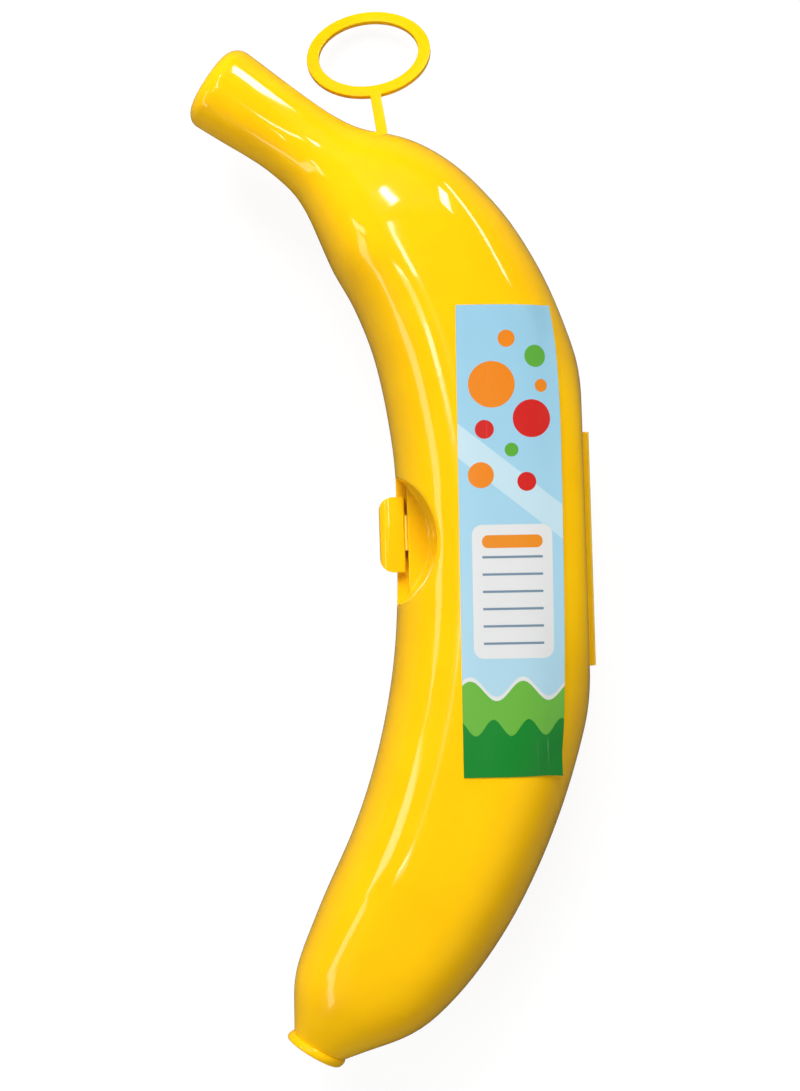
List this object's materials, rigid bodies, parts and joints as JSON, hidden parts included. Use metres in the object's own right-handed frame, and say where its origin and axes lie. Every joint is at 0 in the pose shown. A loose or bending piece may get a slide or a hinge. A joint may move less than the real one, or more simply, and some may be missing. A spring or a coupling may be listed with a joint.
{
  "type": "banana carrying case",
  "caption": "Banana-shaped plastic carrying case: two hinged shells with a snap clip on the inner curve, a hanging ring at the neck and a paper label on the front.",
  "frame": {"origin": "under the middle of the closed case, on the plane that its rear shell lies on", "axes": "+X from the clip to the hinge, +Y from the tip to the stem along the hinge, +Z from the rear shell to the front shell"},
  "size_m": [0.093, 0.2564, 0.0432],
  "materials": {
    "yellow_plastic": "moulded gloss",
    "label_paper": "coated print"
  },
  "bodies": {
    "rear": {"rear_shell": "yellow_plastic", "hinge_film": "yellow_plastic", "hang_ring": "yellow_plastic"},
    "lid": {"front_shell": "yellow_plastic", "latch_film": "yellow_plastic", "label": "label_paper"},
    "latch": {"latch_clip": "yellow_plastic"}
  },
  "joints": [
    {"name": "lid_hinge", "type": "hinge", "parent": "rear", "child": "lid", "pos_m": [0.04601, -0.00609, 0.02142], "axis": [0, 1, 0], "range_deg": [0, 180]},
    {"name": "latch_hinge", "type": "hinge", "parent": "lid", "child": "latch", "pos_m": [0.00201, -0.00129, 0.02347], "axis": [0, 1, 0], "range_deg": [0, 100]}
  ]
}
